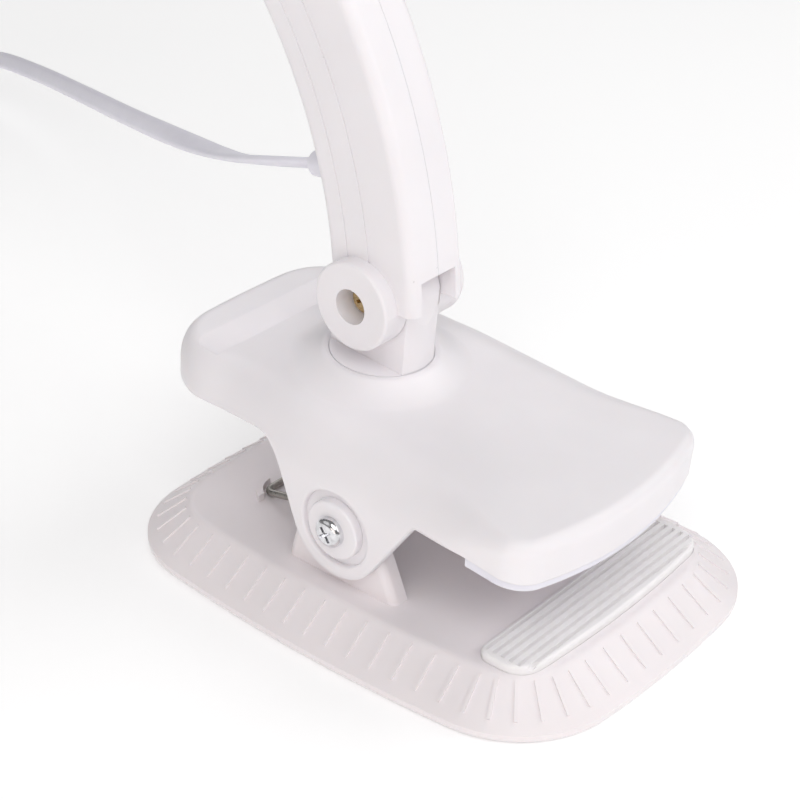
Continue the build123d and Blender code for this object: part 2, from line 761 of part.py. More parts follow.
def arm_sweep(depth, width, corner, start, stop):
    """A rounded box section turned about the arm's centre between two angles."""
    turn = radians(start)
    x, z = on_arm(start)
    section = Plane(origin=(x, 0, z), x_dir=(cos(turn), 0, sin(turn)), z_dir=(-sin(turn), 0, cos(turn)))
    with BuildPart() as sweep_part:
        with BuildSketch(section):
            RectangleRounded(depth, width, corner)
        revolve(axis=ARM_AXIS, revolution_arc=stop - start)
    return sweep_part.part


def arm_whole():
    """Both shells of the arm as one hollow body, before it is halved along Y = 0."""
    head_x, head_z = HEAD_HINGE
    outside = arm_sweep(ARM_DEPTH, ARM_WIDTH, ARM_CORNER, ARM_START_ANGLE, ARM_TOP_ANGLE)
    inside = arm_sweep(
        ARM_DEPTH - 2 * ARM_WALL, ARM_WIDTH - 2 * ARM_WALL, ARM_CORNER - ARM_WALL, HOLLOW_START, HOLLOW_STOP
    )
    lead_way = rod(flat_point(*on_arm(LEAD_STOP)), flat_point(head_x, head_z), 1.7)
    with BuildPart() as arm:
        add(outside)
        add(inside, mode=Mode.SUBTRACT)
        # ears of the lower knuckle, the far one longer for the nut
        with BuildSketch(side_plane(FAR_EAR_OUTER)):
            with Locations((KNUCKLE_X, KNUCKLE_Z)):
                Circle(EAR_RADIUS)
        extrude(amount=FAR_EAR_OUTER + EAR_OUTER)
        rims = arm.edges().filter_by(GeomType.CIRCLE).filter_by(
            lambda edge: edge.center().Y > FAR_EAR_OUTER - 0.01 or edge.center().Y < -EAR_OUTER + 0.01
        )
        fillet(rims, 0.8)
        with BuildSketch(side_plane(FORK_HALF)):
            with Locations((KNUCKLE_X, KNUCKLE_Z)):
                Circle(FORK_RADIUS)
            with Locations((KNUCKLE_X + 4, KNUCKLE_Z - 1.0)):
                Rectangle(44, 20)
        extrude(amount=2 * FORK_HALF, mode=Mode.SUBTRACT)
        with BuildSketch(side_plane(30)):
            with Locations((KNUCKLE_X, KNUCKLE_Z)):
                Circle(TILT_BORE)
        extrude(amount=60, mode=Mode.SUBTRACT)
        with BuildSketch(side_plane(-TILT_SEAT)):
            with Locations((KNUCKLE_X, KNUCKLE_Z)):
                Circle(4.75)
        extrude(amount=10, mode=Mode.SUBTRACT)
        with BuildSketch(side_plane(TILT_SEAT)):
            with Locations((KNUCKLE_X, KNUCKLE_Z)):
                RegularPolygon(NUT_RADIUS + 0.1, 6)
        extrude(amount=-10, mode=Mode.SUBTRACT)
        # ears of the upper knuckle
        with BuildSketch(side_plane(ARM_WIDTH / 2)):
            with Locations((head_x, head_z)):
                Circle(HEAD_EAR_RADIUS)
            with BuildLine():
                top = on_arm(ARM_TOP_ANGLE - 1, ARM_RADIUS + 10)
                low = on_arm(ARM_TOP_ANGLE - 1, ARM_RADIUS - 10)
                Polyline(
                    top, low, (head_x, head_z - HEAD_EAR_RADIUS), (head_x, head_z + HEAD_EAR_RADIUS), close=True
                )
            make_face()
        extrude(amount=ARM_WIDTH)
        with BuildSketch(side_plane(HEAD_FORK_HALF)):
            with Locations((head_x, head_z)):
                Circle(HEAD_EAR_RADIUS + 1.2)
        extrude(amount=2 * HEAD_FORK_HALF, mode=Mode.SUBTRACT)
        with BuildSketch(side_plane(30)):
            with Locations((head_x, head_z)):
                Circle(1.55)
        extrude(amount=60, mode=Mode.SUBTRACT)
        for side in (1, -1):
            with BuildSketch(side_plane(side * HEAD_SEAT)):
                with Locations((head_x, head_z)):
                    Circle(3.3)
            extrude(amount=-side * 10, mode=Mode.SUBTRACT)
        # way for the lead past both knuckles and the cord's gland
        x, z = on_arm(CORD_ANGLE, ARM_RADIUS - ARM_DEPTH / 2 + ARM_WALL + 1)
        turn = radians(CORD_ANGLE)
        with BuildSketch(Plane(origin=(x, 0, z), z_dir=(-cos(turn), 0, -sin(turn)))):
            Circle(3.6)
        extrude(amount=10, mode=Mode.SUBTRACT)
        add(lead_way, mode=Mode.SUBTRACT)
    return arm.part


def side_groove(radius, side):
    """A fine groove that follows the arm along one of its flat faces."""
    turn = radians(GROOVE_START)
    x, z = on_arm(GROOVE_START, radius)
    y = side * ARM_WIDTH / 2
    section = Plane(origin=(x, y, z), x_dir=(cos(turn), 0, sin(turn)), z_dir=(-sin(turn), 0, cos(turn)))
    with BuildPart() as groove:
        with BuildSketch(section):
            Rectangle(GROOVE_SIZE, GROOVE_SIZE)
        revolve(axis=ARM_AXIS, revolution_arc=GROOVE_STOP - GROOVE_START)
    return groove.part


def arm_shell(side):
    """One half of the arm; side is -1 for the near shell and +1 for the far shell."""
    whole = arm_whole()
    grooves = [side_groove(radius, side) for radius in GROOVE_RADII]
    with BuildPart() as shell:
        add(whole)
        add(grooves, mode=Mode.SUBTRACT)
        for angle in SCREW_ANGLES:
            with BuildSketch(side_plane(ARM_WIDTH / 2 - 1)):
                with Locations(on_arm(angle, SCREW_RADIUS)):
                    Circle(3.0)
            extrude(amount=ARM_WIDTH - 2)
        for angle in SCREW_ANGLES:
            with BuildSketch(side_plane(ARM_WIDTH / 2 + 1)):
                with Locations(on_arm(angle, SCREW_RADIUS)):
                    Circle(1.15)
            extrude(amount=ARM_WIDTH - 1, mode=Mode.SUBTRACT)
            with BuildSketch(side_plane(ARM_WIDTH / 2 + 1)):
                with Locations(on_arm(angle, SCREW_RADIUS)):
                    Circle(2.5)
            extrude(amount=4, mode=Mode.SUBTRACT)
        with Locations((-90, side * (50 + SEAM_GAP / 2), 140)):
            Box(300, 100, 300, mode=Mode.INTERSECT)
    return shell.part


def arm_screws():
    screws = []
    for angle in SCREW_ANGLES:
        x, z = on_arm(angle, SCREW_RADIUS)
        plane = Plane(origin=(x, ARM_WIDTH / 2 - 3, z), x_dir=(1, 0, 0), z_dir=(0, 1, 0))
        screws.append(pan_screw(plane, 2.3, 1.6, 1.1, 13, "arm_screw"))
    return Compound(children=screws)


def tilt_screw():
    plane = Plane(origin=(KNUCKLE_X, -TILT_SEAT, KNUCKLE_Z), x_dir=(0.9, 0, 0.44), z_dir=(0, -1, 0))
    return pan_screw(plane, 4.0, 1.7, 2.0, 20.4, "tilt_screw")


def tilt_nut():
    with BuildPart() as nut:
        with BuildSketch(side_plane(TILT_SEAT)):
            with Locations((KNUCKLE_X, KNUCKLE_Z)):
                RegularPolygon(NUT_RADIUS, 6)
                Circle(TILT_BORE, mode=Mode.SUBTRACT)
        extrude(amount=-3.2)
    return nut.part


def cord_gland():
    """Tapered collar that guides the cord out of the arm's rear face."""
    plane = gland_plane()
    with BuildPart() as gland:
        with BuildSketch(plane.offset(-ARM_WALL + 0.1)):
            Circle(3.5)
        extrude(amount=ARM_WALL)
        with BuildSketch(plane):
            Circle(4.4)
        with BuildSketch(plane.offset(GLAND_LENGTH)):
            Circle(3.3)
        loft()
        with BuildSketch(plane.offset(-ARM_WALL - 1)):
            Circle(CORD_DIAMETER / 2 + 0.02)
        extrude(amount=20, mode=Mode.SUBTRACT)
    return gland.part


def gland_plane():
    """Plane on the arm's rear face where the cord leaves, looking out along the cord."""
    turn = radians(CORD_ANGLE)
    x, z = on_arm(CORD_ANGLE, ARM_RADIUS - ARM_DEPTH / 2)
    return Plane(origin=(x - 0.3, 0, z), x_dir=(0, 1, 0), z_dir=(-cos(turn), 0, -sin(turn)))


def inner_lead():
    """Two-core lead inside the arm, from the gland up to the upper knuckle."""
    run = arm_sweep(2.4, 2.4, 1.1, LEAD_START, LEAD_STOP)
    foot = rod(flat_point(*on_arm(LEAD_START)), flat_point(*on_arm(CORD_ANGLE, ARM_RADIUS - 7.5)), 1.2)
    bend = Vector(*flat_point(*on_arm(LEAD_STOP)))
    hinge = Vector(*flat_point(*HEAD_HINGE))
    tip = rod(bend, bend + (hinge - bend) * 0.68, 1.2)
    with BuildPart() as lead:
        add(run)
        add(foot)
        add(tip)
    return lead.part


# ---- head body ----------------------------------------------------------------------
PITCH = radians(HEAD_PITCH)
HEAD = Plane(
    origin=flat_point(*HEAD_HINGE), x_dir=(-cos(PITCH), 0, -sin(PITCH)), z_dir=(-sin(PITCH), 0, cos(PITCH))
)
HEAD_MIDDLE = HEAD_START + HEAD_LENGTH / 2
BUTTON_PLACE = HEAD_START + 15.0


def head_slab(inset):
    with BuildSketch() as slab:
        with Locations((HEAD_MIDDLE, 0)):
            RectangleRounded(HEAD_LENGTH - 2 * inset, HEAD_WIDTH - 2 * inset, HEAD_CORNER - inset)
    return slab.sketch


def head_housing():
    """Top shell of the head, with the tongue that the arm's upper fork holds."""
    half = HEAD_HEIGHT / 2
    with BuildPart() as housing:
        with BuildSketch(HEAD.offset(-half + 1.5)):
            add(head_slab(0))
        extrude(amount=HEAD_HEIGHT - 1.5)
        top = housing.faces().sort_by(lambda face: face.center().dot(HEAD.z_dir))[-1]
        fillet(top.edges(), 4.0)
        with BuildSketch(HEAD.offset(-half + 1.5)):
            add(head_slab(HEAD_SKIN))
        extrude(amount=HEAD_HEIGHT - 1.5 - HEAD_SKIN, mode=Mode.SUBTRACT)
        with BuildSketch(Plane(origin=HEAD.origin + Vector(0, HEAD_TONGUE_HALF, 0), x_dir=HEAD.x_dir,
                               z_dir=(0, -1, 0))) as tongue:
            Circle(HEAD_EAR_RADIUS - 1.0)
            with Locations((HEAD_START / 2 + 0.8, 0)):
                Rectangle(HEAD_START, 9.0)
        extrude(amount=2 * HEAD_TONGUE_HALF)
        with BuildSketch(side_plane(30)):
            with Locations(HEAD_HINGE):
                Circle(1.5)
        extrude(amount=60, mode=Mode.SUBTRACT)
        with BuildSketch(HEAD.offset(half + 1)):
            with Locations((BUTTON_PLACE, 0)):
                Circle(BUTTON_RADIUS + 0.2)
        extrude(amount=-4, mode=Mode.SUBTRACT)
    return housing.part


def head_bezel():
    half = HEAD_HEIGHT / 2
    with BuildPart() as bezel:
        with BuildSketch(HEAD.offset(-half - 0.5)):
            add(head_slab(0))
            add(head_slab(3.4), mode=Mode.SUBTRACT)
        extrude(amount=1.9)
        with BuildSketch(HEAD.offset(-half + 1.4)):
            add(head_slab(2.0))
            add(head_slab(3.4), mode=Mode.SUBTRACT)
        extrude(amount=1.6)
    return bezel.part


def diffuser():
    half = HEAD_HEIGHT / 2
    with BuildPart() as lens:
        with BuildSketch(HEAD.offset(-half)):
            add(head_slab(3.6))
        extrude(amount=1.6)
    return lens.part


def reflector():
    half = HEAD_HEIGHT / 2
    with BuildPart() as tray:
        with BuildSketch(HEAD.offset(-half + 3.2)):
            add(head_slab(2.2))
            add(head_slab(6.2), mode=Mode.SUBTRACT)
        extrude(amount=2.0)
    return tray.part


def led_board():
    half = HEAD_HEIGHT / 2
    with BuildPart() as board:
        with BuildSketch(HEAD.offset(-half + 5.4)):
            add(head_slab(2.4))
        extrude(amount=1.2)
    return board.part


def leds():
    half = HEAD_HEIGHT / 2
    with BuildPart() as chips:
        with BuildSketch(HEAD.offset(-half + 5.35)):
            with Locations((HEAD_MIDDLE, 0)):
                with GridLocations(8.4, 11.0, 9, 3):
                    Rectangle(3.5, 2.8)
        extrude(amount=-0.8)
    return chips.part


def tact_switch():
    half = HEAD_HEIGHT / 2
    with BuildPart() as switch:
        with BuildSketch(HEAD.offset(-half + 6.65)):
            with Locations((BUTTON_PLACE, 0)):
                Rectangle(6.0, 6.0)
        extrude(amount=2.0)
    return switch.part


def power_button():
    """Round push button with the flange that keeps it under the housing's roof."""
    half = HEAD_HEIGHT / 2
    with BuildPart() as button:
        with BuildSketch(HEAD.offset(half - 2.9)):
            with Locations((BUTTON_PLACE, 0)):
                Circle(BUTTON_RADIUS + 1.1)
        extrude(amount=0.8)
        with BuildSketch(HEAD.offset(half - 2.2)):
            with Locations((BUTTON_PLACE, 0)):
                Circle(BUTTON_RADIUS)
        extrude(amount=3.1)
        top = button.faces().sort_by(lambda face: face.center().dot(HEAD.z_dir))[-1]
        fillet(top.edges(), 0.7)
    return button.part


def head_screw():
    plane = Plane(origin=(HEAD_HINGE[0], -HEAD_SEAT, HEAD_HINGE[1]), x_dir=(1, 0, 0), z_dir=(0, -1, 0))
    return pan_screw(plane, 3.0, 1.7, 1.45, 18.5, "head_screw")


def head_nut():
    with BuildPart() as nut:
        with BuildSketch(side_plane(HEAD_SEAT + 0.05)):
            with Locations(HEAD_HINGE):
                RegularPolygon(3.0, 6)
                Circle(1.5, mode=Mode.SUBTRACT)
        extrude(amount=-1.9)
    return nut.part


# ---- supply cord --------------------------------------------------------------------
EXIT_PLANE = gland_plane()
CORD_EXIT = EXIT_PLANE.origin + EXIT_PLANE.z_dir * GLAND_LENGTH


def cord():
    points = [CORD_EXIT] + [Vector(*point) for point in CORD_ROUTE]
    radii = []
    for before, corner, after in zip(points, points[1:], points[2:]):
        turn = (corner - before).get_angle(after - corner)
        shorter = min((corner - before).length, (after - corner).length)
        radii.append(0.45 * shorter / tan(radians(turn / 2)))
    print("cord radii", [round(radius) for radius in radii])
    with BuildPart() as tube:
        with BuildLine() as route:
            FilletPolyline(*points, radius=radii)
        line = route.wire()
        with BuildSketch(Plane(origin=line @ 0, z_dir=line % 0)):
            Circle(CORD_DIAMETER / 2)
        sweep(path=line)
    area = pi * (CORD_DIAMETER / 2) ** 2
    print("cord tube length", line.length, "volume ratio", tube.part.volume / (area * line.length))
    return tube.part


def cord_coil():
    with BuildPart() as coil:
        with BuildSketch(Plane.XY.offset(COIL_BASE)):
            with Locations((COIL_X, COIL_Y)):
                Circle(COIL_RADIUS + COIL_HALF_WIDTH)
                Circle(COIL_RADIUS - COIL_HALF_WIDTH, mode=Mode.SUBTRACT)
        extrude(amount=COIL_HEIGHT)
        fillet(coil.edges().filter_by(GeomType.CIRCLE), 2.0)
    return coil.part


def plug_plane(along, lift=0.0):
    """Cross-section plane of the plug, a distance along it from the back of its grip."""
    return Plane(origin=(PLUG_X, PLUG_Y - along, PLUG_AXIS_Z + lift), x_dir=(1, 0, 0), z_dir=(0, -1, 0))


def cord_tail():
    """The short end of the cord from the coil to the plug."""
    tail_length = TAIL_START_Y - PLUG_Y - RELIEF_LENGTH
    with BuildPart() as tail:
        with BuildSketch(plug_plane(-RELIEF_LENGTH)):
            Circle(CORD_DIAMETER / 2)
        extrude(amount=-tail_length)
    return tail.part


def plug_body():
    """Moulded grip of the USB-A plug with its tapered strain relief, flat beside the coil."""
    with BuildPart() as grip:
        with BuildSketch(plug_plane(0)):
            RectangleRounded(PLUG_WIDTH, PLUG_HEIGHT, 2.4)
        extrude(amount=GRIP_LENGTH)
        fillet(grip.edges().group_by(Axis.Y)[-1], 1.2)
        with BuildSketch(plug_plane(1.5)):
            Circle(3.7)
        with BuildSketch(plug_plane(-RELIEF_LENGTH)):
            Circle(2.6)
        loft()
    return grip.part


def plug_shell():
    with BuildPart() as shell:
        with BuildSketch(plug_plane(GRIP_LENGTH)):
            Rectangle(12.0, 4.5)
            Rectangle(11.2, 3.7, mode=Mode.SUBTRACT)
        extrude(amount=12.5)
    return shell.part


def plug_contacts():
    with BuildPart() as tongue:
        with BuildSketch(plug_plane(GRIP_LENGTH, 0.8)):
            Rectangle(11.0, 1.8)
        extrude(amount=11.5)
    return tongue.part


def coil_tie():
    """Reusable strap round the coil."""
    turn = radians(TIE_ANGLE)
    middle = (
        COIL_X + COIL_RADIUS * cos(turn), COIL_Y + COIL_RADIUS * sin(turn), COIL_BASE + COIL_HEIGHT / 2
    )
    plane = Plane(origin=middle, x_dir=(cos(turn), sin(turn), 0), z_dir=(-sin(turn), cos(turn), 0))
    with BuildPart() as tie:
        with BuildSketch(plane.offset(-TIE_LENGTH / 2)):
            RectangleRounded(
                2 * (COIL_HALF_WIDTH + TIE_WALL) + 0.2, COIL_HEIGHT + 2 * TIE_WALL + 0.2, 2.6
            )
            RectangleRounded(2 * COIL_HALF_WIDTH + 0.2, COIL_HEIGHT + 0.2, 2.0, mode=Mode.SUBTRACT)
        extrude(amount=TIE_LENGTH)
    return tie.part


# ---- write every sub-part -----------------------------------------------------------
SUBPARTS = {
    "base_plate": base_plate,
    "lower_grip_pad": grip_pad,
    "ballast_plate": ballast_plate,
    "bottom_cover": bottom_cover,
    "cover_screws": cover_screws,
    "base_feet": base_feet,
    "pivot_tube": pivot_tube,
    "pivot_caps": pivot_caps,
    "pivot_screws": pivot_screws,
    "torsion_spring": torsion_spring,
    "upper_jaw": upper_jaw,
    "jaw_pad": jaw_pad,
    "swivel_base": swivel_base,
    "swivel_washer": swivel_washer,
    "swivel_screw": swivel_screw,
    "arm_shell_near": lambda: arm_shell(-1),
    "arm_shell_far": lambda: arm_shell(1),
    "arm_screws": arm_screws,
    "tilt_screw": tilt_screw,
    "tilt_nut": tilt_nut,
    "cord_gland": cord_gland,
    "inner_lead": inner_lead,
    "head_housing": head_housing,
    "head_bezel": head_bezel,
    "diffuser": diffuser,
    "reflector": reflector,
    "led_board": led_board,
    "leds": leds,
    "tact_switch": tact_switch,
    "power_button": power_button,
    "head_screw": head_screw,
    "head_nut": head_nut,
    "cord": cord,
    "cord_coil": cord_coil,
    "cord_tail": cord_tail,
    "plug_body": plug_body,
    "plug_shell": plug_shell,
    "plug_contacts": plug_contacts,
    "coil_tie": coil_tie,
}

for part_name, make in SUBPARTS.items():
    save(make(), part_name)
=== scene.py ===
import bpy
import bmesh
import json
import math
from mathutils import Matrix, Vector


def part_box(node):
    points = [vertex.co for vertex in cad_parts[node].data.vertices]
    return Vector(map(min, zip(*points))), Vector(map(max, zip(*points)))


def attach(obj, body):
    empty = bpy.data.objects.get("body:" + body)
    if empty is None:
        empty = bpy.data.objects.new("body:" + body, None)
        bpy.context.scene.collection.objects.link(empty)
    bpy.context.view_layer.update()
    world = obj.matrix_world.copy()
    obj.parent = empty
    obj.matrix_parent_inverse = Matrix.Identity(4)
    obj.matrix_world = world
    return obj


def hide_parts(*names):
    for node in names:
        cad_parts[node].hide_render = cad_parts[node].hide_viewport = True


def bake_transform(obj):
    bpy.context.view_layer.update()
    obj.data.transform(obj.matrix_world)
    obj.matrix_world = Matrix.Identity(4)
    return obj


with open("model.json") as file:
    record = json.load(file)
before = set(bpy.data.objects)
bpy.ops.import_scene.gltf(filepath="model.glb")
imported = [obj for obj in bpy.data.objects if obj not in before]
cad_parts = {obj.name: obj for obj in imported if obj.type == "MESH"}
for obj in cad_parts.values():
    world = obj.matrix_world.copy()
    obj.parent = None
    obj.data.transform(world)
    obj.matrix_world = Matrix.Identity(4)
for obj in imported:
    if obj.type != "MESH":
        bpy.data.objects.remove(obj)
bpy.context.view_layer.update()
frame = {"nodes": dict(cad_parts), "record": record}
NODES = frame["nodes"]
MM = 0.001


# ---- shared helpers -----------------------------------------------------------------
def smooth_step(value, low, high):
    """A share from 0 at low to 1 at high that starts and ends level."""
    share = min(1.0, max(0.0, (value - low) / (high - low)))
    return share * share * (3 - 2 * share)


def add_object(name, data):
    """A new object in the scene, at the origin."""
    added = bpy.data.objects.new(name, data)
    bpy.context.scene.collection.objects.link(added)
    return added


def bridge(bm, rings):
    """Quads between each closed ring of vertices and the next."""
    count = len(rings[0])
    for ring, following in zip(rings, rings[1:]):
        for index in range(count):
            other = (index + 1) % count
            bm.faces.new((ring[index], ring[other], following[other], following[index]))


def finished_mesh(bm, name):
    """The mesh of a closed form, with its normals pointing out."""
    bmesh.ops.recalc_face_normals(bm, faces=bm.faces)
    mesh = bpy.data.meshes.new(name)
    bm.to_mesh(mesh)
    bm.free()
    return mesh


def evaluated_mesh(piece):
    """A new mesh of an object as its spline or its modifiers shape it."""
    bpy.context.view_layer.update()
    return bpy.data.meshes.new_from_object(piece.evaluated_get(bpy.context.evaluated_depsgraph_get()))


# ---- camera -------------------------------------------------------------------------
CAMERA_PLACE = Vector((0.27926, -0.34008, 0.30829))
CAMERA_AIM = Vector((-0.02169, 0.00969, 0.03654))
CAMERA_ROLL = math.radians(0.35)
CAMERA_LENS = 90.16
SENSOR_WIDTH = 36.0
NEAR_CLIP = 0.01


def make_camera():
    """A moderate telephoto from the front corner, a little above the clip."""
    data = bpy.data.cameras.new("camera")
    data.lens = CAMERA_LENS
    data.sensor_width = SENSOR_WIDTH
    data.clip_start = NEAR_CLIP
    camera = add_object("camera", data)
    look = (CAMERA_AIM - CAMERA_PLACE).to_track_quat("-Z", "Y").to_matrix().to_4x4()
    camera.matrix_world = Matrix.Translation(CAMERA_PLACE) @ look @ Matrix.Rotation(CAMERA_ROLL, 4, "Z")
    bpy.context.scene.camera = camera


# ---- lights and floor ---------------------------------------------------------------
PLAIN_LIGHT = (1.0, 1.0, 1.0)
WARM_LIGHT = (1.0, 0.9, 0.84)
# name, compass angle from +X, elevation, power in watts, colour
STUDIO_LIGHTS = (
    ("camera_side", -50, 50, 4.6, PLAIN_LIGHT),
    ("right_side", 5, 35, 2.5, PLAIN_LIGHT),
    ("back_right", 60, 40, 3.5, PLAIN_LIGHT),
    ("back_left", 150, 40, 2.0, PLAIN_LIGHT),
    ("front_low", -72, 7, 2.3, WARM_LIGHT),
    ("left_side", -125, 35, 0.95, PLAIN_LIGHT),
)
LIGHT_DISTANCE = 1.1
LIGHT_SIZE = 0.8
LIGHT_AIM = Vector((0.0, 0.0, 0.05))
WORLD_COLOUR = (1.0, 0.98, 0.985, 1.0)
WORLD_STRENGTH = 0.19
FLOOR_REACH = 6.0
FLOOR_COLOUR = (0.95, 0.95, 0.95, 1.0)
FLOOR_ROUGHNESS = 0.9
FLOOR_GLOW = 0.2


def area_light(name, place, power, colour):
    """A round soft light that is aimed at the clip."""
    data = bpy.data.lights.new(name, "AREA")
    data.shape = "DISK"
    data.size = LIGHT_SIZE
    data.energy = power
    data.color = colour
    light = add_object(name, data)
    light.location = place
    light.rotation_euler = (LIGHT_AIM - place).to_track_quat("-Z", "Y").to_euler()


def make_studio():
    """A dim even world and the ring of soft lights."""
    scene = bpy.context.scene
    scene.view_settings.view_transform = "Standard"
    world = bpy.data.worlds.new("studio")
    world.use_nodes = True
    background = world.node_tree.nodes["Background"]
    background.inputs["Color"].default_value = WORLD_COLOUR
    background.inputs["Strength"].default_value = WORLD_STRENGTH
    scene.world = world
    for name, azimuth, elevation, power, colour in STUDIO_LIGHTS:
        around = math.radians(azimuth)
        level = LIGHT_DISTANCE * math.cos(math.radians(elevation))
        height = LIGHT_DISTANCE * math.sin(math.radians(elevation))
        place = Vector((level * math.cos(around), level * math.sin(around), height))
        area_light(name, place, power, colour)


def make_floor():
    """A wide pale sheet under the lamp."""
    mesh = bpy.data.meshes.new("floor")
    corners = [(x * FLOOR_REACH, y * FLOOR_REACH, 0) for x, y in ((-1, -1), (1, -1), (1, 1), (-1, 1))]
    mesh.from_pydata(corners, [], [(0, 1, 2, 3)])
    floor = add_object("floor", mesh)
    material = bpy.data.materials.new("floor")
    material.use_nodes = True
    shader = material.node_tree.nodes["Principled BSDF"]
    shader.inputs["Base Color"].default_value = FLOOR_COLOUR
    shader.inputs["Roughness"].default_value = FLOOR_ROUGHNESS
    shader.inputs["Specular IOR Level"].default_value = 0.0
    shader.inputs["Emission Color"].default_value = (1.0, 1.0, 1.0, 1.0)
    shader.inputs["Emission Strength"].default_value = FLOOR_GLOW
    mesh.materials.append(material)


# ---- materials ----------------------------------------------------------------------
# features per metre of the noise patterns
FLOW = 38.0
WAVES = 140.0
PLASTIC_SHEEN = 160.0
SPECKS = 420.0
VINYL_TONE = 90.0
VINYL_SHEEN = 500.0
VINYL_PORES = 3800.0
TARNISH = 700.0
BRUSHING = 2400.0
# how dark the dark places of each pattern are, as shares of the main colour
FLOW_TINT = 0.97
SPECK_TINT = 0.62
VINYL_TINT = 0.96
TARNISH_TINT = 0.6


class Finish:
    """A material with the few node patterns that the lamp's surfaces share."""

    def __init__(self, name, colour, roughness, **sockets):
        self.material = bpy.data.materials.new(name)
        self.material.use_nodes = True
        self.tree = self.material.node_tree
        self.shader = self.tree.nodes["Principled BSDF"]
        self.shader.inputs["Base Color"].default_value = (*colour, 1.0)
        self.shader.inputs["Roughness"].default_value = roughness
        self.normal = None
        for socket, value in sockets.items():
            self.shader.inputs[socket.replace("_", " ")].default_value = value
        self.coordinates = self.tree.nodes.new("ShaderNodeTexCoord").outputs["Object"]

    def link(self, source, target):
        self.tree.links.new(source, target)

    def noise(self, scale, detail):
        """Noise of a number of features per metre, as its output socket."""
        texture = self.tree.nodes.new("ShaderNodeTexNoise")
        texture.inputs["Scale"].default_value = scale
        texture.inputs["Detail"].default_value = detail
        self.link(self.coordinates, texture.inputs["Vector"])
        return texture.outputs["Fac"]

    def remap(self, value, low, high, to_low, to_high):
        """Stretches the range from low to high of a socket to another range, and clamps it."""
        node = self.tree.nodes.new("ShaderNodeMapRange")
        node.clamp = True
        for socket, number in zip(("From Min", "From Max", "To Min", "To Max"), (low, high, to_low, to_high)):
            node.inputs[socket].default_value = number
        self.link(value, node.inputs["Value"])
        return node.outputs["Result"]

    def blend(self, factor, under, over):
        """Mixes two colours, either of which may be a socket."""
        node = self.tree.nodes.new("ShaderNodeMix")
        node.data_type = "RGBA"
        self.link(factor, node.inputs["Factor"])
        for socket, colour in (("A", under), ("B", over)):
            target = [entry for entry in node.inputs if entry.name == socket and entry.type == "RGBA"][0]
            if isinstance(colour, tuple):
                target.default_value = (*colour, 1.0)
            else:
                self.link(colour, target)
        return [entry for entry in node.outputs if entry.type == "RGBA"][0]

    def set_colour(self, socket):
        self.link(socket, self.shader.inputs["Base Color"])

    def set_roughness(self, socket):
        self.link(socket, self.shader.inputs["Roughness"])

    def bump(self, height, distance, strength):
        """Adds relief of a height in metres on top of the relief that the surface has."""
        node = self.tree.nodes.new("ShaderNodeBump")
        node.inputs["Distance"].default_value = distance
        node.inputs["Strength"].default_value = strength
        self.link(height, node.inputs["Height"])
        if self.normal:
            self.link(self.normal, node.inputs["Normal"])
        self.normal = node.outputs["Normal"]
        self.link(self.normal, self.shader.inputs["Normal"])


def tinted(colour, factor):
    """A lighter or darker version of a colour."""
    return tuple(min(1.0, channel * factor) for channel in colour)


def moulded_plastic(name, colour, roughness=0.42, grain=2600.0, grain_depth=0.00002, glow=0.12):
    """Satin injection-moulded plastic: spark-eroded grain, slow flow mottling and rare specks."""
    finish = Finish(
        name, colour, roughness, Subsurface_Weight=glow, Subsurface_Scale=0.002,
        Subsurface_Radius=(1.0, 0.75, 0.6),
    )
    slow = finish.remap(finish.noise(FLOW, 3.0), 0.35, 0.65, 0.0, 1.0)
    body = finish.blend(slow, tinted(colour, FLOW_TINT), colour)
    specks = finish.remap(finish.noise(SPECKS, 2.0), 0.79, 0.83, 0.0, 0.5)
    finish.set_colour(finish.blend(specks, body, tinted(colour, SPECK_TINT)))
    rough = finish.noise(PLASTIC_SHEEN, 5.0)
    finish.set_roughness(finish.remap(rough, 0.3, 0.7, roughness - 0.06, roughness + 0.08))
    finish.bump(finish.noise(WAVES, 2.0), 0.00012, 0.25)
    finish.bump(finish.noise(grain, 3.0), grain_depth, 0.6)
    return finish.material


def soft_vinyl(name, colour, roughness=0.5):
    """Pale soft vinyl or rubber: even, slightly waxy and finely pored."""
    finish = Finish(
        name, colour, roughness, Subsurface_Weight=0.2, Subsurface_Scale=0.0015,
        Subsurface_Radius=(0.9, 0.85, 1.0),
    )
    slow = finish.remap(finish.noise(VINYL_TONE, 3.0), 0.3, 0.7, 0.0, 1.0)
    finish.set_colour(finish.blend(slow, tinted(colour, VINYL_TINT), colour))
    rough = finish.noise(VINYL_SHEEN, 4.0)
    finish.set_roughness(finish.remap(rough, 0.3, 0.7, roughness - 0.08, roughness + 0.08))
    finish.bump(finish.noise(VINYL_PORES, 2.0), 0.00002, 0.5)
    return finish.material


def plated_metal(name, colour, roughness):
    """Plated or drawn metal with a fine brushed grain and a little tarnish."""
    finish = Finish(name, colour, roughness, Metallic=1.0)
    tarnish = finish.remap(finish.noise(TARNISH, 5.0), 0.4, 0.75, 0.0, 0.6)
    finish.set_colour(finish.blend(tarnish, colour, tinted(colour, TARNISH_TINT)))
    brushed = finish.noise(BRUSHING, 3.0)
    finish.set_roughness(finish.remap(brushed, 0.3, 0.7, roughness - 0.07, roughness + 0.12))
    finish.bump(brushed, 0.00001, 0.5)
    return finish.material


WHITE = (0.87, 0.842, 0.865)
BASE_WHITE = (0.868, 0.818, 0.832)
LILAC = (0.82, 0.81, 0.88)

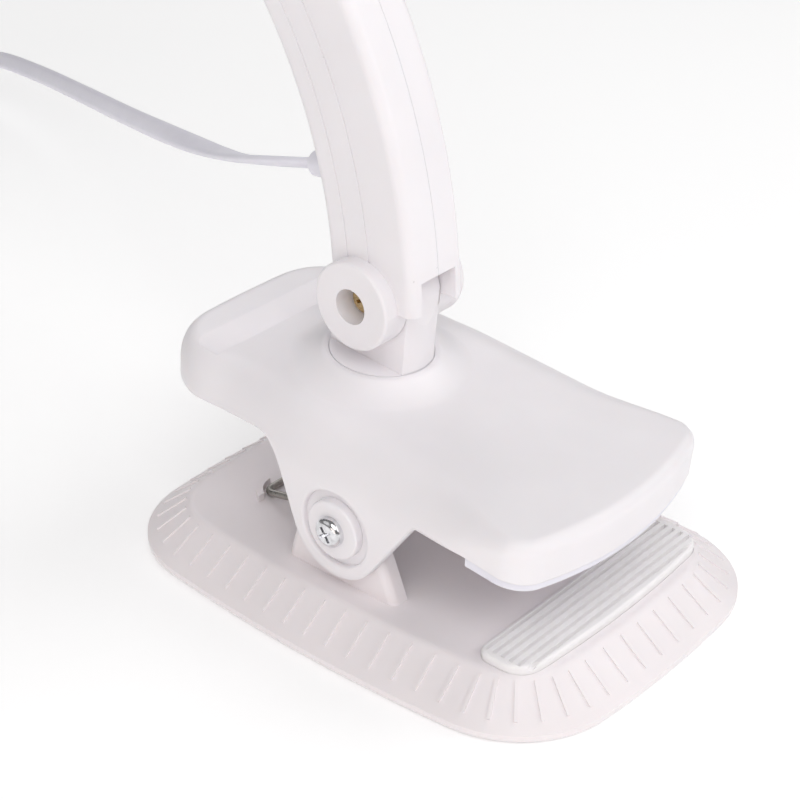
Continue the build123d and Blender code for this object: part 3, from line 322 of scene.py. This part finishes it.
MATERIALS = {
    "shell": moulded_plastic("shell", WHITE),
    "base_shell": moulded_plastic("base_shell", BASE_WHITE),
    "grip": soft_vinyl("grip", (0.9, 0.88, 0.885), 0.48),
    "disc": moulded_plastic("disc", tinted(WHITE, 1.01), 0.36),
    "cap": moulded_plastic("cap", WHITE, 0.38),
    "cover": moulded_plastic("cover", tinted(WHITE, 0.95), 0.55, 1500.0, 0.00005),
    "sleeve": moulded_plastic("sleeve", tinted(WHITE, 0.94), 0.45),
    "soft_pad": soft_vinyl("soft_pad", LILAC),
    "foot": soft_vinyl("foot", (0.62, 0.62, 0.64), 0.65),
    "cord": soft_vinyl("cord", LILAC, 0.4),
    "plug": soft_vinyl("plug", tinted(LILAC, 0.97), 0.38),
    "hinge_metal": plated_metal("hinge_metal", (0.82, 0.82, 0.84), 0.16),
    "brass": plated_metal("brass", (0.58, 0.43, 0.22), 0.28),
    "screw": plated_metal("screw", (0.6, 0.6, 0.62), 0.3),
    "spring": plated_metal("spring", (0.46, 0.44, 0.41), 0.3),
    "plug_metal": plated_metal("plug_metal", (0.78, 0.78, 0.8), 0.2),
    "ballast": plated_metal("ballast", (0.3, 0.3, 0.31), 0.5),
    "plug_core": moulded_plastic("plug_core", (0.82, 0.82, 0.84), 0.35),
    "tie": soft_vinyl("tie", (0.6, 0.6, 0.64), 0.85),
    "lens": moulded_plastic("lens", (0.92, 0.92, 0.89), 0.3, glow=0.5),
    "reflector": moulded_plastic("reflector", (0.9, 0.9, 0.88), 0.2),
    "board": moulded_plastic("board", (0.86, 0.87, 0.84), 0.35),
    "led": moulded_plastic("led", (0.86, 0.7, 0.25), 0.3),
    "switch": moulded_plastic("switch", (0.05, 0.05, 0.055), 0.4),
    "button": moulded_plastic("button", (0.7, 0.69, 0.72), 0.45),
}


def dress_frame():
    """Give every carried-over CAD node its slot's material."""
    slot_of = {entry["node"]: entry["material_slot"] for entry in frame["record"]["subparts"]}
    for name, node in NODES.items():
        node.data.materials.clear()
        node.data.materials.append(MATERIALS[slot_of[name]])


# ---- supply cord --------------------------------------------------------------------
CORD_WIDTH = 6.2 * MM
CORD_THICKNESS = 2.6 * MM
CORD_LIE = 2.55 * MM
# from the exit in the arm, down through the air and on to the floor beside the coil
CORD_POINTS = [
    (-0.0416, 0.0, 0.1026),
    (-0.0605, 0.001, 0.0974),
    (-0.084, 0.012, 0.0878),
    (-0.117, 0.0264, 0.0782),
    (-0.163, 0.0468, 0.0664),
    (-0.214, 0.0692, 0.0546),
    (-0.265, 0.0906, 0.0432),
    (-0.317, 0.1104, 0.0308),
    (-0.357, 0.1204, 0.0146),
    (-0.386, 0.1228, 0.0054),
    (-0.410, 0.1222, CORD_LIE),
]
COIL_CENTRE = Vector((-0.430, 0.0914, 0.0))
COIL_RADIUS = 0.031
COIL_TURNS = 5.25
COIL_STEPS = 16
COIL_PITCH = CORD_THICKNESS + 0.15 * MM
COIL_FLOOR = 0.7 * MM
COIL_LAYER_GAP = 0.1 * MM
COIL_CLIMB = 0.5
PLUG_AXIS_Z = 4.2 * MM
# the tail: how far it starts before the coil's centre and above the plug, and how it enters the plug
TAIL_START = 16 * MM
TAIL_RISE = 3 * MM
TAIL_APPROACH = 4 * MM
TAIL_INSIDE = 2 * MM
# how far the flat cord is rolled about its own line: at its exit, along its fall and in the coil
EXIT_ROLL = math.radians(29)
VIEW_ROLL = math.radians(-61)
COIL_ROLL = math.radians(-90)
# along the cord, in metres: where the rolls of the fall, the coil and the plug are reached
VIEW_REACH = 0.13
COIL_REACH = 0.41
COIL_TWIST = 0.08
PLUG_TWIST = 0.05
# the section: how square its ends are, and its waist's depth and width as shares
CORE_SQUARENESS = 0.82
WAIST_DEPTH = 0.1
WAIST_WIDTH = 0.16
SECTION_POINTS = 20
LINE_RESOLUTION = 6


def coil_place(turn):
    """Radius and height of the coil after a number of turns: inwards below, outwards above."""
    half = COIL_TURNS / 2
    low = COIL_FLOOR + CORD_WIDTH / 2
    high = low + CORD_WIDTH + COIL_LAYER_GAP
    rise = smooth_step(turn, half - COIL_CLIMB / 2, half + COIL_CLIMB / 2)
    return COIL_RADIUS + COIL_PITCH * (abs(turn - half) - half / 2), low + (high - low) * rise


def cord_route():
    """The cord's control points: the listed route, the coil's turns and the tail into the plug."""
    points = [Vector(point) for point in CORD_POINTS]
    for step in range(1, int(COIL_TURNS * COIL_STEPS) + 1):
        turn = step / COIL_STEPS
        angle = math.pi / 2 + 2 * math.pi * turn
        radius, height = coil_place(turn)
        points.append(COIL_CENTRE + Vector((radius * math.cos(angle), radius * math.sin(angle), height)))
    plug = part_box("plug_body")
    tail_x = (plug[0][0] + plug[1][0]) / 2
    plug_back = plug[1][1]
    tail = (
        (COIL_CENTRE.y - TAIL_START, PLUG_AXIS_Z + TAIL_RISE),
        (plug_back + TAIL_APPROACH, PLUG_AXIS_Z),
        (plug_back - TAIL_INSIDE, PLUG_AXIS_Z),
    )
    points.extend(Vector((tail_x, y, z)) for y, z in tail)
    return points


def guide_curve(points):
    """A NURBS spline with the points as its control points."""
    data = bpy.data.curves.new("guide", "CURVE")
    data.dimensions = "3D"
    data.resolution_u = LINE_RESOLUTION
    spline = data.splines.new("NURBS")
    spline.points.add(len(points) - 1)
    for place, point in zip(spline.points, points):
        place.co = (*point, 1.0)
    spline.order_u = 3
    spline.use_endpoint_u = True
    return add_object("guide", data)


def curve_points(points):
    """Points along the smooth line of a route."""
    guide = guide_curve(points)
    mesh = evaluated_mesh(guide)
    line = [vertex.co.copy() for vertex in mesh.vertices]
    data = guide.data
    bpy.data.objects.remove(guide)
    bpy.data.curves.remove(data)
    bpy.data.meshes.remove(mesh)
    return line


def cord_section():
    """The flat cord's section: two round cores with a shallow waist between them."""
    section = []
    for index in range(SECTION_POINTS):
        angle = 2 * math.pi * index / SECTION_POINTS
        across = math.copysign(abs(math.cos(angle)) ** CORE_SQUARENESS, math.cos(angle))
        waist = 1.0 - WAIST_DEPTH * math.exp(-((across / WAIST_WIDTH) ** 2))
        section.append((across * CORD_WIDTH / 2, math.sin(angle) * CORD_THICKNESS / 2 * waist))
    return section


def swept_piece(name, line, section, rolls):
    """A closed tube of the section along a line; a roll of 0 keeps the section's width level."""
    bm = bmesh.new()
    rings = []
    for index, point in enumerate(line):
        before = line[max(0, index - 1)]
        after = line[min(len(line) - 1, index + 1)]
        along = (after - before).normalized()
        level = Vector((0, 0, 1)).cross(along).normalized()
        lift = along.cross(level)
        roll = rolls[index]
        side = level * math.cos(roll) + lift * math.sin(roll)
        top = lift * math.cos(roll) - level * math.sin(roll)
        rings.append([bm.verts.new(point + side * u + top * v) for u, v in section])
    bridge(bm, rings)
    bm.faces.new(rings[0][::-1])
    bm.faces.new(rings[-1])
    mesh = finished_mesh(bm, name)
    mesh.shade_smooth()
    return add_object(name, mesh)


def arc_lengths(line):
    """How far along the line each of its points is."""
    lengths = [0.0]
    for before, after in zip(line, line[1:]):
        lengths.append(lengths[-1] + (after - before).length)
    return lengths


def make_cord():
    """The whole supply cord, rolled as it falls, and upright in its coil."""
    line = curve_points(cord_route())
    lengths = arc_lengths(line)
    total = lengths[-1]
    rolls = []
    for length in lengths:
        turned = smooth_step(length, 0.0, VIEW_REACH)
        upright = smooth_step(length, COIL_REACH - COIL_TWIST, COIL_REACH)
        lie_down = smooth_step(length, total - PLUG_TWIST, total)
        rolls.append(
            EXIT_ROLL + (VIEW_ROLL - EXIT_ROLL) * turned + (COIL_ROLL - VIEW_ROLL) * upright
            - COIL_ROLL * lie_down
        )
    piece = swept_piece("supply_cord", line, cord_section(), rolls)
    piece.data.materials.append(MATERIALS["cord"])
    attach(piece, "arm")
    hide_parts("cord", "cord_coil", "cord_tail")


# ---- upper jaw shell ----------------------------------------------------------------
# lengths in millimetres; u runs along the plate towards the nose, v across it, w out of its top
PLATE_SLOPE = math.radians(5.0)
PLATE_HEIGHT = 51.7
# the plan's corners on one side, as (u, v, radius)
JAW_PLAN = ((-69.2, 35.4, 23.0), (-14.0, 39.8, 90.0), (22.0, 39.8, 90.0), (55.4, 37.0, 6.5))
NOSE_BOW = 6.6
TAIL_BOW = 1.8
BOW_REACH = 24.0
# the lower edge seen from the side, as (x, z, radius)
JAW_SIDE = (
    (-90.0, 46.3, 0.0), (-21.6, 46.3, 12.0), (-10.1, 15.6, 14.0), (6.79, 15.6, 14.0), (24.4, 40.2, 1.5),
    (39.0, 38.6, 0.0), (64.0, 33.2, 0.0), (90.0, 33.2, 0.0),
)
SIDE_SPACING = 0.5
JAW_WALL = 3.0
HANDLE_ROOF = 6.2
HANDLE_ROOF_END = (-52.0, -46.0)
# rounding between the plate and its sides: at the tail, between and at the nose, and where it changes
TAIL_ROUND = 4.6
MIDDLE_ROUND = 14.2
NOSE_ROUND = 3.2
TAIL_CHANGE = (-71.0, -40.0)
NOSE_CHANGE = (20.0, 57.0)
INNER_ROUND_MIN = 1.2
RIM_ROUND = 0.5
# steps round the lower rim, as shares of its rounding inwards and up
RIM_STEPS = ((1.0, 0.0), (0.3, 0.3), (0.0, 1.0))
EDGE_GUESS = -10.0
EDGE_PASSES = 8
SAMPLE = 0.8
WALL_RINGS = 26
TOP_RINGS = 16
COLLAR_RINGS = 12
SHARP_ANGLE = math.radians(38)
SWIVEL = Vector((-20.02, 0.0))
COLLAR_TOP = 3.97
COLLAR_CREST = 15.4
COLLAR_FOOT = 24.2
POCKET_RADIUS = 13.74
POCKET_FLOOR = 1.5
POST_RADIUS = 5.6
# over the collar's crest, round its inner lip and down into the pocket and the bore, as (radius, w)
POCKET_PROFILE = (
    (14.9, COLLAR_TOP), (14.2, COLLAR_TOP), (13.9, COLLAR_TOP - 0.05), (POCKET_RADIUS, COLLAR_TOP - 0.2),
    (POCKET_RADIUS, POCKET_FLOOR), (10.0, POCKET_FLOOR), (POST_RADIUS, POCKET_FLOOR),
    (POST_RADIUS, -JAW_WALL),
)
PIVOT_X = -0.4
PIVOT_Z = 29.6
SKIRT_OUTER = 39.8
RECESS_RADIUS = 10.5
RECESS_DEPTH = 1.7
RECESS_ROUND = 0.8
RECESS_STEPS = 6
TUBE_BORE = 5.06
# the hinge's cutters: how far from the middle the bores run, how far out a recess runs, and their sides
BORE_ENDS = (60.0, 20.0)
RECESS_OVER = 3.0
HINGE_STEPS = 120
# the scoop across the handle, and the grid of its cutter
THUMB_FRONT = -50.4
THUMB_BACK = -61.5
THUMB_HALF_LENGTH = 29.2
THUMB_DEPTH = 4.4
THUMB_DEEPEST = 3.0
THUMB_LIP = 1.0
THUMB_END = 6.5
THUMB_ROWS = 60
THUMB_COLUMNS = 120
CUTTER_MARGIN = 1.0
CUTTER_CLEAR = 0.4
CUTTER_ROOF = 6.0


def rounded_path(corners, closed, spacing):
    """Even points along a polygon of (x, y, radius) corners whose corners are arcs."""
    count = len(corners)
    pieces = []
    for index, (x, y, radius) in enumerate(corners):
        here = Vector((x, y))
        if radius == 0:
            pieces.append([here])
            continue
        back = (Vector(corners[index - 1][:2]) - here).normalized()
        ahead = (Vector(corners[(index + 1) % count][:2]) - here).normalized()
        half = back.angle(ahead) / 2
        centre = here + (back + ahead).normalized() * radius / math.sin(half)
        start = here + back * radius / math.tan(half) - centre
        sweep = start.angle_signed(here + ahead * radius / math.tan(half) - centre)
        steps = max(2, int(abs(sweep) * radius / spacing))
        pieces.append([centre + Matrix.Rotation(-sweep * k / steps, 2) @ start for k in range(steps + 1)])
    path = []
    for index, piece in enumerate(pieces):
        path.extend(piece)
        if closed or index + 1 < count:
            start, end = piece[-1], pieces[(index + 1) % count][0]
            steps = int((end - start).length / spacing)
            path.extend(start.lerp(end, k / steps) for k in range(1, steps))
    return path


def jaw_outline():
    """The jaw's plan as points and their inward normals, its nose and tail gently bowed."""
    far = [(u, v, radius) for u, v, radius in JAW_PLAN]
    near = [(u, -v, radius) for u, v, radius in reversed(JAW_PLAN)]
    nose_u, nose_v = JAW_PLAN[-1][:2]
    tail_u, tail_v = JAW_PLAN[0][:2]
    outline = []
    for point in rounded_path(far + near, True, SAMPLE):
        nose = smooth_step(point.x, nose_u - BOW_REACH, nose_u) * max(0.0, 1 - (point.y / nose_v) ** 2)
        tail = smooth_step(-point.x, -tail_u - BOW_REACH, -tail_u)
        tail *= max(0.0, 1 - (point.y / tail_v) ** 2)
        outline.append(Vector((point.x + NOSE_BOW * nose - TAIL_BOW * tail, point.y)))
    normals = []
    for index, point in enumerate(outline):
        along = outline[(index + 1) % len(outline)] - outline[index - 1]
        normals.append(Vector((along.y, -along.x)).normalized())
    return outline, normals


def jaw_bottom():
    """A function that gives the height of the jaw's lower edge at a place along X."""
    path = rounded_path(JAW_SIDE, False, SIDE_SPACING)

    def height(x):
        for before, after in zip(path, path[1:]):
            if before.x <= x <= after.x:
                return before.y + (after.y - before.y) * (x - before.x) / max(after.x - before.x, 1e-6)
        return path[-1].y

    return height


def on_plate(u, v, w):
    """A point given in the plate's own directions, in the lamp's metres."""
    x = u * math.cos(PLATE_SLOPE) + w * math.sin(PLATE_SLOPE)
    z = PLATE_HEIGHT - u * math.sin(PLATE_SLOPE) + w * math.cos(PLATE_SLOPE)
    return Vector((x, v, z)) * MM


def edge_rounding(u):
    """Radius of the rounding between the plate and its sides: small at both ends, large between."""
    tail = smooth_step(u, *TAIL_CHANGE)
    nose = smooth_step(u, *NOSE_CHANGE)
    return TAIL_ROUND + (MIDDLE_ROUND - TAIL_ROUND) * tail + (NOSE_ROUND - MIDDLE_ROUND) * nose


def roof_thickness(u):
    """The plate is thicker along the handle than along the rest of the jaw."""
    return JAW_WALL + (HANDLE_ROOF - JAW_WALL) * (1 - smooth_step(u, *HANDLE_ROOF_END))


def lower_edge(u, bottom):
    """Height of the lower edge in the plate's own directions, found by repeated substitution."""
    w = EDGE_GUESS
    for _ in range(EDGE_PASSES):
        x = u * math.cos(PLATE_SLOPE) + w * math.sin(PLATE_SLOPE)
        w = (bottom(x) - PLATE_HEIGHT + u * math.sin(PLATE_SLOPE)) / math.cos(PLATE_SLOPE)
    return w


def wall_profile(u, radius, wall, roof, bottom):
    """Offsets and heights up one wall: from its lower edge, round the rounding, to the top."""
    w = lower_edge(u, bottom)
    centre = wall + radius
    middle = -roof - radius
    first = math.asin(min(1.0, max(0.0, (w - middle) / radius)))
    straight = max(0.0, middle - w)
    total = straight + radius * (math.pi / 2 - first)
    profile = []
    for ring in range(WALL_RINGS + 1):
        run = total * ring / WALL_RINGS
        if run < straight:
            profile.append((wall, w + run))
        else:
            angle = first + (run - straight) / radius
            profile.append((centre - radius * math.cos(angle), middle + radius * math.sin(angle)))
    return profile


def collar_height(reach):
    """Height of the flared collar above the plate at a distance from the swivel's axis."""
    share = min(1.0, max(0.0, (reach - COLLAR_CREST) / (COLLAR_FOOT - COLLAR_CREST)))
    return COLLAR_TOP * (1 - share) ** 1.5


def jaw_column(point, normal, bottom):
    """A closed loop of points: outer wall, top, collar, pocket, bore, roof and inner wall."""
    radius = edge_rounding(point.x)
    inner_radius = max(radius - JAW_WALL, INNER_ROUND_MIN)
    outer = wall_profile(point.x, radius, 0.0, 0.0, bottom)
    inner = wall_profile(
        (point + normal * JAW_WALL).x, inner_radius, JAW_WALL, roof_thickness(point.x), bottom
    )
    offset, low = outer[0]
    column = [
        on_plate(*(point + normal * (offset + RIM_ROUND * inwards)), low + RIM_ROUND * up)
        for inwards, up in RIM_STEPS
    ]
    column.extend(on_plate(*(point + normal * offset), w) for offset, w in outer[1:])
    top = point + normal * outer[-1][0]
    towards = (top - SWIVEL).normalized()
    foot = SWIVEL + towards * COLLAR_FOOT
    column.extend(on_plate(*top.lerp(foot, k / TOP_RINGS), 0.0) for k in range(1, TOP_RINGS))
    for k in range(COLLAR_RINGS + 1):
        reach = COLLAR_FOOT - (COLLAR_FOOT - COLLAR_CREST) * k / COLLAR_RINGS
        column.append(on_plate(*(SWIVEL + towards * reach), collar_height(reach)))
    column.extend(on_plate(*(SWIVEL + towards * reach), w) for reach, w in POCKET_PROFILE)
    post = SWIVEL + towards * POST_RADIUS
    inner_top = point + normal * inner[-1][0]
    for k in range(1, TOP_RINGS):
        place = post.lerp(inner_top, k / TOP_RINGS)
        column.append(on_plate(*place, -roof_thickness(place.x)))
    column.extend(on_plate(*(point + normal * offset), w) for offset, w in reversed(inner))
    return column


def jaw_shell_mesh():
    """The jaw as one closed band of columns round its outline."""
    outline, normals = jaw_outline()
    bottom = jaw_bottom()
    bm = bmesh.new()
    grid = [
        [bm.verts.new(place) for place in jaw_column(point, normal, bottom)]
        for point, normal in zip(outline, normals)
    ]
    size = len(grid[0])
    for index, column in enumerate(grid):
        following = grid[(index + 1) % len(grid)]
        for ring in range(size):
            other = (ring + 1) % size
            bm.faces.new((column[ring], following[ring], following[other], column[other]))
    return finished_mesh(bm, "upper_jaw_shell")


def hinge_cutter(profile):
    """A body turned about the hinge's axis from (radius, y) pairs, to be cut away."""
    bm = bmesh.new()
    angles = [2 * math.pi * k / HINGE_STEPS for k in range(HINGE_STEPS)]
    rings = []
    for radius, y in profile:
        ring = [
            Vector((PIVOT_X + radius * math.cos(angle), y, PIVOT_Z + radius * math.sin(angle)))
            for angle in angles
        ]
        rings.append([bm.verts.new(place * MM) for place in ring])
    bridge(bm, rings)
    bm.faces.new(rings[0])
    bm.faces.new(rings[-1])
    return finished_mesh(bm, "hinge_cutter")


def hinge_recess(side):
    """Profile of the recess round one end of the hinge: its floor, its wall and its rounded rim."""
    profile = [(RECESS_RADIUS, side * (SKIRT_OUTER - RECESS_DEPTH))]
    for k in range(RECESS_STEPS + 1):
        angle = math.pi / 2 * k / RECESS_STEPS
        radius = RECESS_RADIUS + RECESS_ROUND * (1 - math.cos(angle))
        profile.append((radius, side * (SKIRT_OUTER - RECESS_ROUND * (1 - math.sin(angle)))))
    profile.append((RECESS_RADIUS + RECESS_ROUND, side * (SKIRT_OUTER + RECESS_OVER)))
    return profile


def thumb_depth(u, v):
    """Share of the scoop's depth: a slow ramp, a crisp front edge and rounded ends."""
    past_end = max(0.0, (abs(v) - THUMB_HALF_LENGTH + THUMB_END) / THUMB_END)
    end = math.sqrt(max(0.0, 1 - past_end ** 2))
    ramp = smooth_step(u, THUMB_BACK, THUMB_FRONT - THUMB_DEEPEST)
    return ramp * (1 - smooth_step(u, THUMB_FRONT - THUMB_LIP, THUMB_FRONT)) * end


def thumb_cutter():
    """The block above the scoop's surface, to be cut away."""
    back = THUMB_BACK - CUTTER_MARGIN
    front = THUMB_FRONT + CUTTER_MARGIN
    side = THUMB_HALF_LENGTH + CUTTER_MARGIN
    bm = bmesh.new()
    rows = []
    for i in range(THUMB_ROWS + 1):
        u = back + (front - back) * i / THUMB_ROWS
        row = []
        for j in range(THUMB_COLUMNS + 1):
            v = side * (2 * j / THUMB_COLUMNS - 1)
            w = CUTTER_CLEAR - (THUMB_DEPTH + CUTTER_CLEAR) * thumb_depth(u, v)
            row.append(bm.verts.new(on_plate(u, v, w)))
        rows.append(row)
    for row, following in zip(rows, rows[1:]):
        for j in range(THUMB_COLUMNS):
            bm.faces.new((row[j], row[j + 1], following[j + 1], following[j]))
    roof = [
        bm.verts.new(on_plate(u, v, CUTTER_ROOF))
        for u, v in ((back, -side), (back, side), (front, side), (front, -side))
    ]
    bm.faces.new(roof)
    bm.faces.new(rows[0] + [roof[1], roof[0]])
    bm.faces.new(rows[-1] + [roof[2], roof[3]])
    bm.faces.new([row[0] for row in rows] + [roof[3], roof[0]])
    bm.faces.new([row[-1] for row in rows] + [roof[2], roof[1]])
    return finished_mesh(bm, "thumb_cutter")


def cut_away(mesh, cutters):
    """Subtract the cutter meshes from a mesh and return the result as a new mesh."""
    piece = add_object("blank", mesh)
    helpers = [add_object("cutter", cutter) for cutter in cutters]
    for helper in helpers:
        modifier = piece.modifiers.new("cut", "BOOLEAN")
        modifier.operation = "DIFFERENCE"
        modifier.solver = "EXACT"
        modifier.object = helper
    result = evaluated_mesh(piece)
    for extra in [piece] + helpers:
        data = extra.data
        bpy.data.objects.remove(extra)
        bpy.data.meshes.remove(data)
    return result


def make_upper_jaw():
    """The jaw's moulding with its hinge bores, thumb scoop and hinge recesses cut."""
    cutters = [hinge_cutter([(TUBE_BORE, side * y) for y in BORE_ENDS]) for side in (-1, 1)]
    cutters.append(thumb_cutter())
    cutters.extend(hinge_cutter(hinge_recess(side)) for side in (-1, 1))
    mesh = cut_away(jaw_shell_mesh(), cutters)
    mesh.shade_smooth()
    mesh.set_sharp_from_angle(angle=SHARP_ANGLE)
    mesh.materials.clear()
    mesh.materials.append(MATERIALS["shell"])
    piece = add_object("upper_jaw_shell", mesh)
    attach(piece, "jaw")
    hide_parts("upper_jaw")


def make_spring():
    """The spring's wire, copied whole from the CAD spring and left in its place."""
    piece = add_object("spring_wire", NODES["torsion_spring"].data.copy())
    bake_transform(piece)
    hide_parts("torsion_spring")


make_camera()
make_studio()
make_floor()
dress_frame()
make_cord()
make_upper_jaw()
make_spring()
